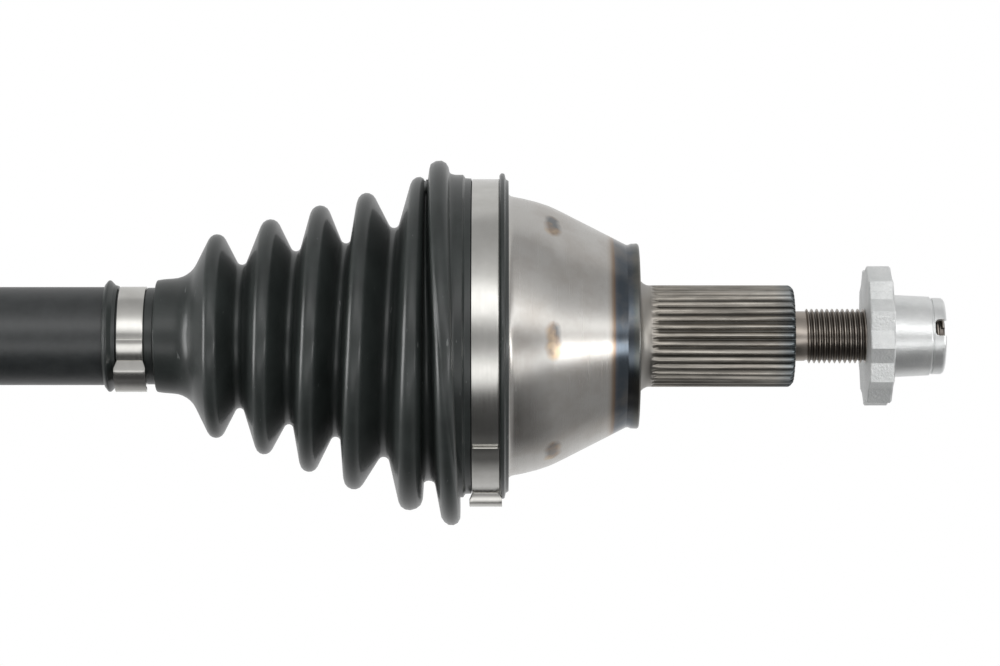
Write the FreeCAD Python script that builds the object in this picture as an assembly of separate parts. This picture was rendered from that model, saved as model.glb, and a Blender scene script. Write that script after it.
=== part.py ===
import FreeCAD, Part
import math
import os

# Wheel-side end of a car's drive shaft: a ball-type constant-velocity joint with its boot,
# its splined stub and nut, and the bar that runs on to the inner joint.
# All sizes are in millimetres. X runs along the shaft towards the wheel, Z is up, and the
# origin lies on the axis in the face that the wheel bearing rests against.

# Ball joint. The tracks of the outer race are struck from a point nearer the mouth than the
# joint's centre, and those of the inner race from a point as far beyond it.
joint_centre_x = -38.0
track_offset = 2.5
pitch_radius = 27.7
ball_radius = 8.73
ball_count = 6
track_clearance = 0.25
outer_track_first_angle = -50.0
outer_track_last_angle = 34.0
inner_track_half_angle = 60.0

# Cage, a ring cut from a hollow sphere, with one window for each ball
cage_wall_outside_balls = 2.3
cage_wall = 6.1
cage_half_width = 13.0
window_clearance = 0.25
window_side_play = 1.6
window_corner_radius = 3.0
sphere_clearance = 0.3

# Inner race
race_mouth_reach = 10.0
race_back_reach = 11.0
race_edge_chamfer = 0.8

# Bell of the outer race
mouth_reach = 12.0
mouth_chamfer_depth = 1.8
mouth_chamfer_width = 1.2
mouth_edge_chamfer = 1.0
bell_wall = 4.0
boot_seat_rise = 2.2
boot_seat_length = 11.4
boot_groove_inset = 4.5
boot_groove_width = 3.0
boot_groove_depth = 0.8
boot_groove_rounding = 0.3
dome_length = 11.7
dome_fall = 3.3
cone_last_x = -3.5
shoulder_groove_depth = 0.45
bell_floor_thickness = 11.0

# Bearing shoulder and splined stub
shoulder_radius = 27.2
shoulder_edge_chamfer = 0.4
root_fillet = 3.2
stub_spline_first_x = 3.8
stub_spline_length = 42.9
stub_spline_teeth = 36
stub_spline_tip_radius = 14.9
stub_spline_depth = 0.95
stub_end_chamfer_length = 2.6
stub_end_chamfer_depth = 1.2
neck_depth = 0.7
neck_length = 2.6
thread_radius = 8.0
thread_chamfer = 0.8
thread_free_length = 17.5
stud_end_recess = 0.4
centre_hole_radius = 2.2
centre_hole_depth = 3.8

# Collar nut with twelve points and a slotted crown
nut_head_length = 6.9
nut_across_flats = 36.0
nut_head_turn = 10.0
nut_point_chamfer = 1.0
nut_bore_clearance = 0.05
nut_mouth_chamfer = 1.0
collar_first_wall = 4.0
collar_last_wall = 3.3
collar_length = 11.7
collar_end_rounding = 0.5
collar_groove_width = 0.6
collar_groove_depth = 0.5
crown_wall = 3.0
crown_length = 3.5
crown_rounding = 1.4
crown_bore_step = 1.0
crown_slot_width = 4.9
crown_slot_depth = 3.4
crown_slot_count = 6
crown_slot_first_angle = 12.5

# Splines at both ends of the bar, and the rings in its grooves
bar_spline_teeth = 24
bar_spline_tip_radius = 11.3
bar_spline_depth = 0.9
spline_fit_clearance = 0.05
spline_runout = 2.0
flank_angle = 30.0
ring_groove_depth = 1.4
ring_groove_side_clearance = 0.05
circlip_thickness = 1.7
circlip_stand = 1.2
circlip_gap_angle = 36.0
stop_ring_thickness = 1.6
stop_ring_stand = 2.0
bar_end_length = 4.4
bar_end_chamfer = 1.0

# Bar
bar_shoulder_reach = 116.0
bar_shoulder_height = 2.9
bar_shoulder_length = 1.2
bar_seat_rise = 0.2
bar_seat_length = 13.0
bar_seat_groove_radius = 0.6
bar_seat_groove_inset = 2.6
bar_shoulder_rounding = 1.5
bar_seat_rounding = 1.0
bar_neck_depth = 0.3
bar_neck_rounding = 3.0
bar_relief_depth = 0.4
bar_relief_length = 6.0
bar_relief_rounding = 0.6
bar_end_x = -358.0
inner_spline_length = 26.0
inner_neck_length = 16.0
inner_seat_length = 11.0
inner_seat_rise = 1.4

# Boot: six pleats that grow towards the joint, the last one close to the clamp
boot_wall = 1.8
boot_gap_on_bar = 0.3
boot_fit_on_bell = 0.05
boot_even_pleats = 5
boot_first_crest_reach = 9.8
boot_first_crest_rise = 12.1
boot_fifth_crest_reach = 16.8
boot_last_valley_reach = 11.3
boot_last_crest_reach = 6.4
boot_last_crest_rise = 6.7
boot_pleat_depth = 9.4
boot_crest_rounding = 2.6
boot_valley_rounding = 1.5
boot_throat_rounding = 3.0
boot_rim_rounding = 1.4
boot_neck_overlap = 2.4
boot_neck_wall = 1.6
boot_lip_wall = 1.9
boot_lip_length = 3.8
boot_collar_rise = 1.15
boot_collar_length = 2.5
boot_throat_first_rise = 3.3
boot_throat_last_rise = 4.4
boot_throat_length = 7.7
boot_rim_overlap = 4.4
boot_rim_wall = 2.15
boot_bead_rise = 1.9
boot_bead_length = 3.4
boot_rim_lip_rise = 2.8
boot_rim_lip_length = 0.9
boot_rim_tail = 0.7
boot_edge_rounding = 0.3
boot_bead_rounding = 0.7
boot_joint_overlap = 0.1

# Clamps: a band drawn tight by one pinched ear
small_clamp_inset = 0.9
small_clamp_width = 7.6
small_clamp_ear_angle = 131.0
small_clamp_gap = 0.3
large_clamp_inset = 1.4
large_clamp_width = 7.9
large_clamp_ear_angle = 172.0
large_clamp_gap = 0.02
clamp_side_room = 0.5
band_thickness = 0.8
ear_height = 3.3
ear_base_half_width = 3.8
ear_top_half_width = 2.9
ear_flare = 0.9
ear_flare_height = 2.2
band_tail_angle = 30.0

AXIS = FreeCAD.Vector(1, 0, 0)
CROSSWAYS = FreeCAD.Vector(0, 1, 0)
CENTRE = FreeCAD.Vector(0, 0, 0)

# Places and radii that follow from the sizes above: the joint
outer_track_centre_x = joint_centre_x - track_offset
inner_track_centre_x = joint_centre_x + track_offset
track_radius = math.hypot(pitch_radius, track_offset)
groove_radius = ball_radius + track_clearance
cage_outer_radius = pitch_radius + cage_wall_outside_balls
cage_inner_radius = cage_outer_radius - cage_wall
race_radius = cage_inner_radius - sphere_clearance
race_first_x = joint_centre_x - race_mouth_reach
race_last_x = joint_centre_x + race_back_reach
cavity_radius = cage_outer_radius + sphere_clearance

# The bell and the stub
mouth_x = joint_centre_x - mouth_reach
bell_radius = track_radius + groove_radius + bell_wall
boot_seat_radius = bell_radius + boot_seat_rise
boot_seat_end_x = mouth_x + boot_seat_length
bell_shoulder_x = boot_seat_end_x + boot_seat_rise
stub_spline_last_x = stub_spline_first_x + stub_spline_length
neck_last_x = stub_spline_last_x + neck_length
nut_face_x = neck_last_x + thread_free_length
nut_head_last_x = nut_face_x + nut_head_length
collar_last_x = nut_head_last_x + collar_length
crown_first_x = collar_last_x + collar_groove_width
nut_end_x = crown_first_x + crown_length
stud_end_x = crown_first_x - stud_end_recess

# The bar
bar_seat_radius = bar_spline_tip_radius + bar_seat_rise
bar_radius = bar_seat_radius + bar_shoulder_height
bar_neck_radius = bar_spline_tip_radius - bar_neck_depth
bar_relief_radius = bar_spline_tip_radius - bar_spline_depth - bar_relief_depth
bar_shoulder_x = joint_centre_x - bar_shoulder_reach
bar_seat_last_x = bar_shoulder_x + bar_seat_length
bar_wheel_end_x = race_last_x + bar_end_length
inner_circlip_first_x = bar_end_x + bar_end_length - circlip_thickness
inner_spline_last_x = bar_end_x + bar_end_length + inner_spline_length
inner_seat_first_x = inner_spline_last_x + inner_neck_length
inner_seat_radius = bar_spline_tip_radius + inner_seat_rise
inner_shoulder_x = inner_seat_first_x + inner_seat_length

# The boot and the clamps
boot_bore_radius = bar_seat_radius + boot_gap_on_bar
boot_counterbore_radius = bar_radius + boot_gap_on_bar
boot_neck_radius = boot_bore_radius + boot_neck_wall
boot_lip_radius = boot_counterbore_radius + boot_lip_wall
boot_neck_first_x = bar_shoulder_x - boot_neck_overlap
boot_lip_last_x = boot_neck_first_x + boot_lip_length
small_clamp_first_x = boot_lip_last_x + small_clamp_inset
boot_collar_first_x = small_clamp_first_x + small_clamp_width + clamp_side_room
boot_throat_first_x = boot_collar_first_x + boot_collar_length
boot_throat_last_x = boot_throat_first_x + boot_throat_length
boot_throat_last_radius = boot_neck_radius + boot_throat_last_rise
boot_band_seat_radius = boot_seat_radius + boot_fit_on_bell + boot_rim_wall
boot_bead_radius = boot_band_seat_radius + boot_bead_rise
boot_rim_first_x = mouth_x - boot_rim_overlap
boot_rim_last_x = boot_seat_end_x + boot_rim_tail
large_clamp_first_x = mouth_x + large_clamp_inset


def on_profile(x, radius):
    """A point of a turned piece's outline, in the plane above the axis."""
    return FreeCAD.Vector(x, 0, radius)


def outline_edges(corners):
    """Edges round a closed outline. A corner is (x, radius) or (x, radius, rounding)."""
    points = [on_profile(corner[0], corner[1]) for corner in corners]
    joints = []
    for index, corner in enumerate(corners):
        point = points[index]
        if len(corner) == 2:
            joints.append([point])
            continue
        rounding = corner[2]
        back = (points[index - 1] - point).normalize()
        ahead = (points[(index + 1) % len(points)] - point).normalize()
        half_angle = back.getAngle(ahead) / 2
        reach = rounding / math.tan(half_angle)
        depth = rounding / math.sin(half_angle) - rounding
        middle = point + (back + ahead).normalize() * depth
        joints.append([point + back * reach, middle, point + ahead * reach])
    edges = []
    for index, joint in enumerate(joints):
        following = joints[(index + 1) % len(joints)]
        if len(joint) == 3:
            edges.append(Part.Arc(joint[0], joint[1], joint[2]).toShape())
        edges.append(Part.makeLine(joint[-1], following[0]))
    return edges


def turned(corners):
    """A solid turned about the shaft's axis from a closed outline."""
    return turned_edges(outline_edges(corners))


def turned_edges(edges):
    return Part.Face(Part.Wire(edges)).revolve(CENTRE, AXIS, 360)


def rod(first_x, last_x, radius):
    """A plain round rod on the axis."""
    return Part.makeCylinder(radius, last_x - first_x, FreeCAD.Vector(first_x, 0, 0), AXIS)


def ball_at(x, radius):
    return Part.makeSphere(radius, FreeCAD.Vector(x, 0, 0))


def around_axis(shape, angle):
    """A copy turned about the shaft's axis. Angle 0 is up and 90 faces the front."""
    copy = shape.copy()
    copy.rotate(CENTRE, AXIS, angle)
    return copy


def round_pattern(shape, count, first_angle=0.0):
    """Evenly spaced copies about the axis, as one compound."""
    return Part.makeCompound([around_axis(shape, first_angle + 360.0 * i / count) for i in range(count)])


def prism_along(first_x, last_x, section):
    """A straight prism. The section is a list of (sideways, up) points."""
    points = [FreeCAD.Vector(first_x, side, up) for side, up in section]
    points.append(points[0])
    face = Part.Face(Part.makePolygon(points))
    return face.extrude(FreeCAD.Vector(last_x - first_x, 0, 0))


def spline_gaps(first_x, last_x, teeth, tip_radius, depth, grow=0.0):
    """The spaces between the teeth of a spline, narrower by grow on every side."""
    root_radius = tip_radius - depth + grow
    middle_radius = tip_radius - depth / 2
    quarter_pitch = math.pi * middle_radius / teeth / 2
    slope = math.tan(math.radians(flank_angle))
    top_radius = tip_radius + depth
    bottom_half = quarter_pitch + (root_radius - middle_radius) * slope - grow
    top_half = quarter_pitch + (top_radius - middle_radius) * slope - grow
    section = [
        (-bottom_half, root_radius),
        (bottom_half, root_radius),
        (top_half, top_radius),
        (-top_half, top_radius),
    ]
    return round_pattern(prism_along(first_x, last_x, section), teeth)


def runout_envelope(first_x, last_x, tip_radius, depth):
    """Where a spline's spaces may lie: they rise to nothing over the run-out at first_x."""
    below = tip_radius - 2 * depth
    above = tip_radius + 2 * depth
    return turned([
        (first_x, tip_radius),
        (first_x + spline_runout, tip_radius - depth),
        (first_x + spline_runout, below),
        (last_x, below),
        (last_x, above),
        (first_x, above),
    ])


def ball_track(centre_x, first_angle, last_angle):
    """The groove that a ball rolls in, struck from centre_x. Angle 0 is straight up."""
    first = math.radians(first_angle)
    last = math.radians(last_angle)
    start = on_profile(centre_x + track_radius * math.sin(first), track_radius * math.cos(first))
    end = on_profile(centre_x + track_radius * math.sin(last), track_radius * math.cos(last))
    along = FreeCAD.Vector(math.cos(first), 0, -math.sin(first))
    section = Part.Face(Part.Wire(Part.makeCircle(groove_radius, start, along)))
    groove = section.revolve(FreeCAD.Vector(centre_x, 0, 0), CROSSWAYS, last_angle - first_angle)
    return groove.fuse(Part.makeSphere(groove_radius, end))


def tangent_arc(start, end, end_slope):
    """An arc from start that meets end with the given slope of radius against x."""
    normal = on_profile(end_slope, -1).normalize()
    chord = start - end
    radius = chord.Length ** 2 / (2 * chord.dot(normal))
    centre = end + normal * radius
    middle = centre + ((start - centre) + (end - centre)).normalize() * abs(radius)
    return Part.Arc(start, middle, end).toShape()


def quarter_fillet(start, end, centre):
    """A quarter circle about centre, from start to end."""
    middle = centre + ((start - centre) + (end - centre)) * math.sqrt(0.5)
    return Part.Arc(start, middle, end).toShape()


def outer_race_stub():
    """Bell with six tracks, bearing shoulder, splined stub, neck and stud, from one forging."""
    dome_start = on_profile(bell_shoulder_x, bell_radius)
    dome_end = on_profile(bell_shoulder_x + dome_length, bell_radius - dome_fall)
    cone_end = on_profile(cone_last_x, shoulder_radius - shoulder_groove_depth)
    dome = tangent_arc(dome_start, dome_end, (cone_end.z - dome_end.z) / (cone_end.x - dome_end.x))
    shaft_end_radius = stub_spline_tip_radius - stub_end_chamfer_depth
    beyond_dome = [
        dome_end,
        cone_end,
        on_profile(-shoulder_edge_chamfer, shoulder_radius),
        on_profile(0, shoulder_radius - shoulder_edge_chamfer),
        on_profile(0, stub_spline_tip_radius + root_fillet),
    ]
    stub_start = on_profile(root_fillet, stub_spline_tip_radius)
    stub_fillet = quarter_fillet(
        beyond_dome[-1], stub_start, on_profile(root_fillet, stub_spline_tip_radius + root_fillet))
    seat_end = on_profile(boot_seat_end_x, boot_seat_radius)
    seat_fillet = quarter_fillet(seat_end, dome_start, on_profile(bell_shoulder_x, boot_seat_radius))
    beyond_fillet = [
        stub_start,
        on_profile(stub_spline_last_x - stub_end_chamfer_length, stub_spline_tip_radius),
        on_profile(stub_spline_last_x, shaft_end_radius),
        on_profile(stub_spline_last_x, thread_radius - neck_depth),
        on_profile(neck_last_x, thread_radius - neck_depth),
        on_profile(neck_last_x + thread_chamfer, thread_radius),
        on_profile(stud_end_x - thread_chamfer, thread_radius),
        on_profile(stud_end_x, thread_radius - thread_chamfer),
        on_profile(stud_end_x, 0),
        on_profile(mouth_x, 0),
        on_profile(mouth_x, boot_seat_radius - mouth_edge_chamfer),
        on_profile(mouth_x + mouth_edge_chamfer, boot_seat_radius),
        seat_end,
    ]
    edges = [dome]
    edges += Part.makePolygon(beyond_dome).Edges
    edges.append(stub_fillet)
    edges += Part.makePolygon(beyond_fillet).Edges
    edges.append(seat_fillet)
    blank = turned_edges(edges)

    cavity = ball_at(joint_centre_x, cavity_radius).common(
        rod(joint_centre_x - cavity_radius, -bell_floor_thickness, cavity_radius))
    sphere_at_mouth = math.sqrt(
        cavity_radius ** 2 - (mouth_x + mouth_chamfer_depth - joint_centre_x) ** 2)
    mouth_cone = turned([
        (mouth_x, 0),
        (mouth_x, sphere_at_mouth + mouth_chamfer_width),
        (mouth_x + mouth_chamfer_depth, sphere_at_mouth),
        (mouth_x + mouth_chamfer_depth, 0),
    ])
    track = ball_track(outer_track_centre_x, outer_track_first_angle, outer_track_last_angle)
    groove_x = mouth_x + boot_groove_inset
    groove_bottom = boot_seat_radius - boot_groove_depth
    boot_groove = turned([
        (groove_x, boot_seat_radius + 1),
        (groove_x, groove_bottom, boot_groove_rounding),
        (groove_x + boot_groove_width, groove_bottom, boot_groove_rounding),
        (groove_x + boot_groove_width, boot_seat_radius + 1),
    ])
    centre_hole = turned([
        (stud_end_x, 0),
        (stud_end_x, centre_hole_radius),
        (stud_end_x - centre_hole_depth, 0),
    ])
    gaps = spline_gaps(
        stub_spline_first_x, stub_spline_last_x + 1, stub_spline_teeth,
        stub_spline_tip_radius, stub_spline_depth)
    envelope = runout_envelope(
        stub_spline_first_x, stub_spline_last_x + 1, stub_spline_tip_radius, stub_spline_depth)
    body = blank.cut([cavity, mouth_cone, boot_groove, centre_hole])
    body = body.cut([around_axis(track, 360.0 * i / ball_count) for i in range(ball_count)])
    return body.cut(gaps.common(envelope))


def ball_cage():
    """Ring that keeps the balls in the plane halfway between the two shafts."""
    ring = ball_at(joint_centre_x, cage_outer_radius).common(
        rod(joint_centre_x - cage_half_width, joint_centre_x + cage_half_width, cage_outer_radius))
    ring = ring.cut(ball_at(joint_centre_x, cage_inner_radius))
    half_length = ball_radius + window_clearance
    half_width = ball_radius + window_side_play
    window = Part.makeBox(
        2 * half_length, 2 * half_width, cage_outer_radius,
        FreeCAD.Vector(joint_centre_x - half_length, -half_width, cage_inner_radius / 2))
    upright = [edge for edge in window.Edges if abs(edge.tangentAt(edge.FirstParameter).z) > 0.9]
    window = window.makeFillet(window_corner_radius, upright)
    return ring.cut([around_axis(window, 360.0 * i / ball_count) for i in range(ball_count)])


def ball(angle):
    """One bearing ball at rest in its track."""
    place = on_profile(joint_centre_x, pitch_radius)
    return around_axis(Part.makeSphere(ball_radius, place), angle)


def inner_race():
    """Six-track star with a splined bore, pushed on the bar's end."""
    star = ball_at(joint_centre_x, race_radius).common(
        rod(race_first_x, race_last_x, race_radius))
    track = ball_track(inner_track_centre_x, -inner_track_half_angle, inner_track_half_angle)
    star = star.cut([around_axis(track, 360.0 * i / ball_count) for i in range(ball_count)])
    bore = rod(race_first_x - 1, race_last_x + 1, bar_spline_tip_radius + spline_fit_clearance)
    bore = bore.cut(spline_gaps(
        race_first_x - 2, race_last_x + 2, bar_spline_teeth,
        bar_spline_tip_radius, bar_spline_depth, spline_fit_clearance))
    mouth_radius = bar_spline_tip_radius + race_edge_chamfer
    back_chamfer = turned([
        (race_last_x, 0),
        (race_last_x, mouth_radius),
        (race_last_x - 2 * race_edge_chamfer, mouth_radius - 2 * race_edge_chamfer),
        (race_last_x - 2 * race_edge_chamfer, 0),
    ])
    return star.cut([bore, back_chamfer])


def bar_blank():
    """The bar's turned outline, from the inner joint's end to the wheel joint's end."""
    tip = bar_spline_tip_radius
    neck_end = race_first_x - bar_relief_length
    return turned([
        (bar_end_x, 0),
        (bar_end_x, tip - bar_end_chamfer),
        (bar_end_x + bar_end_chamfer, tip),
        (inner_spline_last_x, tip),
        (inner_spline_last_x + bar_end_chamfer, bar_relief_radius, bar_relief_rounding),
        (inner_spline_last_x + bar_relief_length, bar_neck_radius, bar_neck_rounding),
        (inner_seat_first_x, bar_neck_radius),
        (inner_seat_first_x, inner_seat_radius),
        (inner_shoulder_x, inner_seat_radius, bar_seat_rounding),
        (inner_shoulder_x + bar_shoulder_length, bar_radius, bar_shoulder_rounding),
        (bar_shoulder_x - bar_shoulder_length, bar_radius, bar_shoulder_rounding),
        (bar_shoulder_x, bar_seat_radius, bar_seat_rounding),
        (bar_seat_last_x, bar_seat_radius),
        (bar_seat_last_x, bar_neck_radius),
        (neck_end, bar_neck_radius, bar_neck_rounding),
        (race_first_x - bar_end_chamfer, bar_relief_radius, bar_relief_rounding),
        (race_first_x, tip),
        (bar_wheel_end_x - bar_end_chamfer, tip),
        (bar_wheel_end_x, tip - bar_end_chamfer),
        (bar_wheel_end_x, 0),
    ])


def ring_groove(first_x, last_x):
    """A square groove turned in the bar for a ring."""
    bottom = bar_spline_tip_radius - ring_groove_depth
    return rod(first_x, last_x, bar_radius).cut(rod(first_x - 1, last_x + 1, bottom))


def axle_bar():
    """Solid bar with a spline, a ring groove and a boot seat at both ends."""
    play = ring_groove_side_clearance
    wheel_gaps = spline_gaps(
        race_first_x - 1, bar_wheel_end_x + 1, bar_spline_teeth,
        bar_spline_tip_radius, bar_spline_depth)
    inner_gaps = spline_gaps(
        bar_end_x - 1, inner_spline_last_x + 1, bar_spline_teeth,
        bar_spline_tip_radius, bar_spline_depth)
    grooves = [
        ring_groove(race_last_x - play, race_last_x + circlip_thickness + play),
        ring_groove(race_first_x - stop_ring_thickness - play, race_first_x + play),
        ring_groove(inner_circlip_first_x - play, inner_circlip_first_x + circlip_thickness + play),
    ]
    inset = bar_seat_groove_inset
    grooves += [
        seat_groove(bar_shoulder_x + inset, bar_seat_radius),
        seat_groove(bar_seat_last_x - inset, bar_seat_radius),
        seat_groove(inner_seat_first_x + inset, inner_seat_radius),
        seat_groove(inner_shoulder_x - inset, inner_seat_radius),
    ]
    return bar_blank().cut([wheel_gaps, inner_gaps] + grooves)


def seat_groove(x, seat_radius):
    """A shallow round groove in a boot seat, for the boot's end to grip."""
    ring_radius = seat_radius + bar_seat_groove_radius / 2
    return Part.makeTorus(ring_radius, bar_seat_groove_radius, FreeCAD.Vector(x, 0, 0), AXIS)


def split_ring(first_x, thickness, stand, gap_angle):
    """A spring ring in its groove, open over gap_angle at the bottom."""
    inner = bar_spline_tip_radius - ring_groove_depth + ring_groove_side_clearance
    outer = bar_spline_tip_radius + stand
    section = Part.Face(Part.makePolygon([
        on_profile(first_x, inner),
        on_profile(first_x + thickness, inner),
        on_profile(first_x + thickness, outer),
        on_profile(first_x, outer),
        on_profile(first_x, inner),
    ]))
    ring = section.revolve(CENTRE, AXIS, 360 - gap_angle)
    return around_axis(ring, 180 + gap_angle / 2)


def left_of(heading):
    """The direction square to a heading in the plane of a turned piece's outline."""
    return on_profile(-math.sin(heading), math.cos(heading))


def belt_edges(circles, shift):
    """A smooth line over crests and under valleys, moved inwards by shift.

    A circle is (x, radius from the axis, rounding), with a negative rounding for a valley.
    """
    signed = [rounding - shift for x, radius, rounding in circles]
    centres = [on_profile(x, radius) for x, radius, rounding in circles]
    headings = []
    for index in range(len(circles) - 1):
        step = centres[index + 1] - centres[index]
        heading = math.atan2(step.z, step.x)
        heading -= math.asin((signed[index] - signed[index + 1]) / step.Length)
        headings.append(heading)
    arriving = [0.0] + headings
    leaving = headings + [0.0]
    edges = []
    for index, centre in enumerate(centres):
        middle_heading = (arriving[index] + leaving[index]) / 2
        start = centre + left_of(arriving[index]) * signed[index]
        middle = centre + left_of(middle_heading) * signed[index]
        end = centre + left_of(leaving[index]) * signed[index]
        edges.append(Part.Arc(start, middle, end).toShape())
        if index < len(headings):
            following = centres[index + 1] + left_of(headings[index]) * signed[index + 1]
            edges.append(Part.makeLine(end, following))
    return edges


def first_point(edge):
    return edge.valueAt(edge.FirstParameter)


def last_point(edge):
    return edge.valueAt(edge.LastParameter)


def pleat_circles():
    """Rounding circles of the boot's outer face, from the throat to the wide end."""
    throat = boot_throat_last_radius + boot_throat_rounding
    circles = [(boot_throat_last_x, throat, -boot_throat_rounding)]
    first_crest_x = boot_throat_last_x + boot_first_crest_reach
    fifth_crest_x = mouth_x - boot_fifth_crest_reach
    first_crest = boot_throat_last_radius + boot_first_crest_rise
    last_crest = boot_bead_radius + boot_last_crest_rise
    pitch = (fifth_crest_x - first_crest_x) / (boot_even_pleats - 1)
    rise = (last_crest - first_crest) / boot_even_pleats
    for i in range(boot_even_pleats):
        crest_x = first_crest_x + pitch * i
        crest = first_crest + rise * i
        valley_x = crest_x + pitch / 2
        if i == boot_even_pleats - 1:
            valley_x = mouth_x - boot_last_valley_reach
        valley = crest - boot_pleat_depth
        circles.append((crest_x, crest - boot_crest_rounding, boot_crest_rounding))
        circles.append((valley_x, valley + boot_valley_rounding, -boot_valley_rounding))
    last_crest_x = mouth_x - boot_last_crest_reach
    circles.append((last_crest_x, last_crest - boot_crest_rounding, boot_crest_rounding))
    rim_x = boot_rim_first_x + boot_rim_rounding
    circles.append((rim_x, boot_bead_radius + boot_rim_rounding, -boot_rim_rounding))
    return circles


def cv_boot():
    """Moulded bellows that keeps the grease in, with a sleeve at each end."""
    circles = pleat_circles()
    outer = belt_edges(circles, 0.0)
    inner = belt_edges(circles, boot_wall)
    caps = [
        Part.makeLine(first_point(inner[0]), first_point(outer[0])),
        Part.makeLine(last_point(inner[-1]), last_point(outer[-1])),
    ]
    bellows = turned_edges(Part.__sortEdges__(outer + inner + caps))

    bore = boot_bore_radius
    counterbore_x = bar_shoulder_x - bar_shoulder_length / 2
    collar_radius = boot_neck_radius + boot_collar_rise
    throat_first_radius = boot_neck_radius + boot_throat_first_rise
    bellows_start_x = boot_throat_last_x + boot_joint_overlap
    edge = boot_edge_rounding
    neck = turned([
        (counterbore_x + bar_shoulder_length, bore),
        (counterbore_x, boot_counterbore_radius),
        (boot_neck_first_x, boot_counterbore_radius),
        (boot_neck_first_x, boot_lip_radius - boot_lip_wall / 2, edge),
        (boot_neck_first_x + boot_lip_length / 2, boot_lip_radius, boot_bead_rounding),
        (boot_lip_last_x, boot_neck_radius, edge),
        (boot_collar_first_x, boot_neck_radius, edge),
        (boot_collar_first_x, collar_radius, edge),
        (boot_throat_first_x, collar_radius, edge),
        (boot_throat_first_x + boot_wall / 2, throat_first_radius, boot_bead_rounding),
        (bellows_start_x, boot_throat_last_radius),
        (bellows_start_x, boot_throat_last_radius - boot_wall),
        (boot_throat_first_x + boot_wall, bore + boot_wall, boot_throat_rounding),
        (boot_collar_first_x + boot_wall, bore, boot_bead_rounding),
    ])
    seat = boot_seat_radius + boot_fit_on_bell
    bead_last_x = boot_rim_first_x + boot_bead_length
    band_first_x = large_clamp_first_x - clamp_side_room / 2
    band_last_x = large_clamp_first_x + large_clamp_width + clamp_side_room / 2
    step_radius = boot_bead_radius - boot_wall / 2
    rim_lip_radius = boot_band_seat_radius + boot_rim_lip_rise
    rim = turned([
        (boot_rim_first_x, seat),
        (boot_rim_first_x, step_radius),
        (boot_rim_first_x + boot_wall / 2, boot_bead_radius, boot_bead_rounding),
        (bead_last_x, boot_bead_radius, boot_bead_rounding),
        (bead_last_x + boot_wall / 2, step_radius, edge),
        (band_first_x, step_radius, edge),
        (band_first_x, boot_band_seat_radius),
        (band_last_x, boot_band_seat_radius),
        (band_last_x, rim_lip_radius - 2 * edge, edge),
        (band_last_x + boot_rim_lip_length, rim_lip_radius, edge),
        (boot_rim_last_x - edge, rim_lip_radius - edge, edge),
        (boot_rim_last_x, boot_band_seat_radius + edge, edge),
        (boot_rim_last_x, seat),
    ])
    return bellows.fuse([neck, rim]).removeSplitter()


def ear_clamp(inner_radius, first_x, width, ear_angle):
    """Band with a pinched hollow ear, and the band's end lapped over itself before the ear."""
    last_x = first_x + width
    outer_radius = inner_radius + band_thickness
    band = rod(first_x, last_x, outer_radius).cut(rod(first_x - 1, last_x + 1, inner_radius))
    ear = prism_along(first_x - ear_flare, last_x + ear_flare, [
        (-ear_base_half_width, outer_radius - band_thickness / 2),
        (-ear_top_half_width, outer_radius + ear_height),
        (ear_top_half_width, outer_radius + ear_height),
        (ear_base_half_width, outer_radius - band_thickness / 2),
    ])
    hollow = prism_along(first_x - 2 * ear_flare, last_x + 2 * ear_flare, [
        (band_thickness - ear_base_half_width, outer_radius - band_thickness),
        (band_thickness - ear_top_half_width, outer_radius + ear_height - band_thickness),
        (ear_top_half_width - band_thickness, outer_radius + ear_height - band_thickness),
        (ear_base_half_width - band_thickness, outer_radius - band_thickness),
    ])
    flare_radius = outer_radius + ear_flare_height
    waists = [
        rod(first_x - 2 * ear_flare, first_x, flare_radius),
        rod(last_x, last_x + 2 * ear_flare, flare_radius),
    ]
    ear = ear.cut([hollow] + waists)
    lap_section = Part.Face(Part.makePolygon([
        on_profile(first_x, outer_radius),
        on_profile(last_x, outer_radius),
        on_profile(last_x, outer_radius + band_thickness / 2),
        on_profile(first_x, outer_radius + band_thickness / 2),
        on_profile(first_x, outer_radius),
    ]))
    lap = lap_section.revolve(CENTRE, AXIS, -band_tail_angle)
    clamp = band.fuse([ear, lap])
    return around_axis(clamp.removeSplitter(), ear_angle)


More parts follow.
